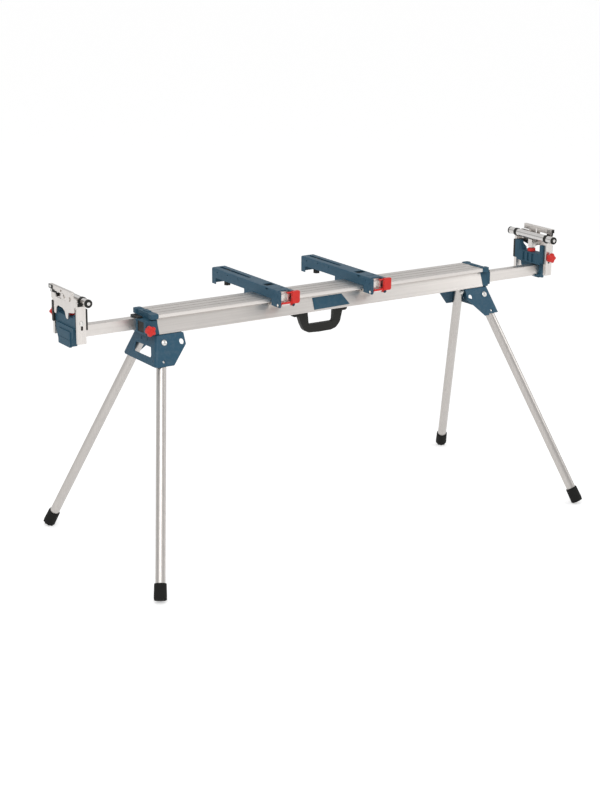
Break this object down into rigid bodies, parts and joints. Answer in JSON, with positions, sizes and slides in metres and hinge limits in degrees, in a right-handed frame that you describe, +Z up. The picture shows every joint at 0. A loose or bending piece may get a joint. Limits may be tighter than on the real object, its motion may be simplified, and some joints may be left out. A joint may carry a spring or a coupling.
{
  "type": "miter saw stand",
  "caption": "Folding miter saw stand: aluminium rail on splayed pivoting legs, sliding quick-release tool mounts and extending roller work supports.",
  "frame": {"origin": "on the floor, under the middle of the rail", "axes": "+X along the rail to the user's right, +Y away from the user who stands at the levers, +Z up"},
  "size_m": [1.809, 0.7846, 0.868],
  "materials": {
    "aluminium": "satin anodised extrusion",
    "zinc_steel": "zinc plated",
    "chrome": "polished",
    "blue_paint": "satin powder coat",
    "blue_plastic": "fine moulded grain",
    "red_plastic": "smooth moulded",
    "black_plastic": "moulded",
    "rubber": "moulded"
  },
  "bodies": {
    "rail": {"main_rail": "aluminium", "left_end_cap": "blue_plastic", "right_end_cap": "blue_plastic", "left_leg_bracket": "blue_paint", "right_leg_bracket": "blue_paint", "carry_handle": "black_plastic", "name_plate": "blue_plastic", "front_left_pivot_bolt": "zinc_steel", "front_right_pivot_bolt": "zinc_steel", "rear_left_pivot_bolt": "zinc_steel", "rear_right_pivot_bolt": "zinc_steel"},
    "front_left_leg": {"front_left_leg": "aluminium", "front_left_foot": "rubber"},
    "front_left_button": {"front_left_lock_button": "zinc_steel"},
    "rear_left_leg": {"rear_left_leg": "aluminium", "rear_left_foot": "rubber"},
    "rear_left_button": {"rear_left_lock_button": "zinc_steel"},
    "left_arm": {"left_arm": "aluminium", "left_carriage": "blue_plastic", "left_guide_screw": "zinc_steel"},
    "left_support": {"left_support_frame": "aluminium", "left_roller_front_bush": "black_plastic", "left_roller_rear_bush": "black_plastic"},
    "left_roller": {"left_roller": "chrome", "left_roller_front_cap": "black_plastic", "left_roller_rear_cap": "black_plastic"},
    "left_stop_bar": {"left_stop_bar": "aluminium"},
    "left_arm_knob": {"left_arm_knob": "red_plastic"},
    "left_height_knob": {"left_height_knob": "red_plastic"},
    "left_thumb_wheel": {"left_thumb_wheel": "red_plastic"},
    "left_mount": {"left_tool_mount": "blue_paint", "left_lever_pin": "zinc_steel"},
    "left_lever": {"left_lever": "red_plastic"},
    "left_jaw": {"left_clamp_jaw": "zinc_steel"},
    "left_bolt_knob": {"left_bolt_knob": "black_plastic"},
    "front_right_leg": {"front_right_leg": "aluminium", "front_right_foot": "rubber"},
    "front_right_button": {"front_right_lock_button": "zinc_steel"},
    "rear_right_leg": {"rear_right_leg": "aluminium", "rear_right_foot": "rubber"},
    "rear_right_button": {"rear_right_lock_button": "zinc_steel"},
    "right_arm": {"right_arm": "aluminium", "right_carriage": "blue_plastic", "right_guide_screw": "zinc_steel"},
    "right_support": {"right_support_frame": "aluminium", "right_roller_front_bush": "black_plastic", "right_roller_rear_bush": "black_plastic"},
    "right_roller": {"right_roller": "chrome", "right_roller_front_cap": "black_plastic", "right_roller_rear_cap": "black_plastic"},
    "right_stop_bar": {"right_stop_bar": "aluminium"},
    "right_arm_knob": {"right_arm_knob": "red_plastic"},
    "right_height_knob": {"right_height_knob": "red_plastic"},
    "right_thumb_wheel": {"right_thumb_wheel": "red_plastic"},
    "right_mount": {"right_tool_mount": "blue_paint", "right_lever_pin": "zinc_steel"},
    "right_lever": {"right_lever": "red_plastic"},
    "right_jaw": {"right_clamp_jaw": "zinc_steel"},
    "right_bolt_knob": {"right_bolt_knob": "black_plastic"}
  },
  "joints": [
    {"name": "front_left_leg_fold", "type": "hinge", "parent": "rail", "child": "front_left_leg", "pos_m": [-0.6038, -0.0599, 0.6734], "axis": [0, -0.9034, 0.4288], "range_deg": [0, 104.3]},
    {"name": "front_left_button_press", "type": "slide", "parent": "front_left_leg", "child": "front_left_button", "axis": [0, 0.9034, -0.4288], "range_m": [0, 0.003], "stiffness_N_per_m": 300, "springref_m": -0.004},
    {"name": "rear_left_leg_fold", "type": "hinge", "parent": "rail", "child": "rear_left_leg", "pos_m": [-0.6038, 0.0599, 0.6734], "axis": [0, -0.9034, -0.4288], "range_deg": [0, 104.3]},
    {"name": "rear_left_button_press", "type": "slide", "parent": "rear_left_leg", "child": "rear_left_button", "axis": [0, -0.9034, -0.4288], "range_m": [0, 0.003], "stiffness_N_per_m": 300, "springref_m": -0.004},
    {"name": "left_arm_extend", "type": "slide", "parent": "rail", "child": "left_arm", "axis": [-1, 0, 0], "range_m": [-0.19, 0.55]},
    {"name": "left_arm_knob_turn", "type": "hinge", "parent": "rail", "child": "left_arm_knob", "pos_m": [-0.6445, -0.0523, 0.72005], "axis": [0, -1, 0], "continuous": true},
    {"name": "left_support_height", "type": "slide", "parent": "left_arm", "child": "left_support", "axis": [0, 0, 1], "range_m": [0, 0.018]},
    {"name": "left_roller_turn", "type": "hinge", "parent": "left_support", "child": "left_roller", "pos_m": [-0.8648, 0, 0.83965], "axis": [0, 1, 0], "continuous": true},
    {"name": "left_stop_height", "type": "slide", "parent": "left_support", "child": "left_stop_bar", "axis": [0, 0, 1], "range_m": [-0.018, 0]},
    {"name": "left_height_knob_turn", "type": "hinge", "parent": "left_arm", "child": "left_height_knob", "pos_m": [-0.873, 0.0838, 0.7766], "axis": [0, -1, 0], "continuous": true},
    {"name": "left_thumb_wheel_turn", "type": "hinge", "parent": "left_arm", "child": "left_thumb_wheel", "pos_m": [-0.866, 0, 0.7854], "axis": [0, 0, 1], "continuous": true},
    {"name": "left_mount_place", "type": "slide", "parent": "rail", "child": "left_mount", "axis": [1, 0, 0], "range_m": [-0.36, 0.1]},
    {"name": "left_lever_swing", "type": "hinge", "parent": "left_mount", "child": "left_lever", "pos_m": [-0.192, -0.098, 0.751], "axis": [1, 0, 0], "range_deg": [0, 75]},
    {"name": "left_jaw_release", "type": "slide", "parent": "left_mount", "child": "left_jaw", "axis": [0, -1, 0], "range_m": [0, 0.01]},
    {"name": "left_bolt_place", "type": "slide", "parent": "left_mount", "child": "left_bolt_knob", "axis": [0, 1, 0], "range_m": [-0.13, 0.015]},
    {"name": "front_right_leg_fold", "type": "hinge", "parent": "rail", "child": "front_right_leg", "pos_m": [0.6038, -0.0599, 0.6734], "axis": [0, 0.9034, -0.4288], "range_deg": [0, 98.5]},
    {"name": "front_right_button_press", "type": "slide", "parent": "front_right_leg", "child": "front_right_button", "axis": [0, 0.9034, -0.4288], "range_m": [0, 0.003], "stiffness_N_per_m": 300, "springref_m": -0.004},
    {"name": "rear_right_leg_fold", "type": "hinge", "parent": "rail", "child": "rear_right_leg", "pos_m": [0.6038, 0.0599, 0.6734], "axis": [0, 0.9034, 0.4288], "range_deg": [0, 98.5]},
    {"name": "rear_right_button_press", "type": "slide", "parent": "rear_right_leg", "child": "rear_right_button", "axis": [0, -0.9034, -0.4288], "range_m": [0, 0.003], "stiffness_N_per_m": 300, "springref_m": -0.004},
    {"name": "right_arm_extend", "type": "slide", "parent": "rail", "child": "right_arm", "axis": [1, 0, 0], "range_m": [-0.19, 0.55]},
    {"name": "right_arm_knob_turn", "type": "hinge", "parent": "rail", "child": "right_arm_knob", "pos_m": [0.6445, 0.0523, 0.72005], "axis": [0, 1, 0], "continuous": true},
    {"name": "right_support_height", "type": "slide", "parent": "right_arm", "child": "right_support", "axis": [0, 0, 1], "range_m": [0, 0.018]},
    {"name": "right_roller_turn", "type": "hinge", "parent": "right_support", "child": "right_roller", "pos_m": [0.8648, 0, 0.83965], "axis": [0, 1, 0], "continuous": true},
    {"name": "right_stop_height", "type": "slide", "parent": "right_support", "child": "right_stop_bar", "axis": [0, 0, 1], "range_m": [-0.018, 0]},
    {"name": "right_height_knob_turn", "type": "hinge", "parent": "right_arm", "child": "right_height_knob", "pos_m": [0.873, -0.0838, 0.7766], "axis": [0, 1, 0], "continuous": true},
    {"name": "right_thumb_wheel_turn", "type": "hinge", "parent": "right_arm", "child": "right_thumb_wheel", "pos_m": [0.866, 0, 0.7854], "axis": [0, 0, 1], "continuous": true},
    {"name": "right_mount_place", "type": "slide", "parent": "rail", "child": "right_mount", "axis": [1, 0, 0], "range_m": [-0.1, 0.4]},
    {"name": "right_lever_swing", "type": "hinge", "parent": "right_mount", "child": "right_lever", "pos_m": [0.152, -0.098, 0.751], "axis": [1, 0, 0], "range_deg": [0, 75]},
    {"name": "right_jaw_release", "type": "slide", "parent": "right_mount", "child": "right_jaw", "axis": [0, -1, 0], "range_m": [0, 0.01]},
    {"name": "right_bolt_place", "type": "slide", "parent": "right_mount", "child": "right_bolt_knob", "axis": [0, 1, 0], "range_m": [-0.13, 0.015]}
  ],
  "couplings": [
    {"joint": "left_jaw_release", "follows": "left_lever_swing", "m_per_rad": 0.0076},
    {"joint": "right_jaw_release", "follows": "right_lever_swing", "m_per_rad": 0.0076}
  ]
}
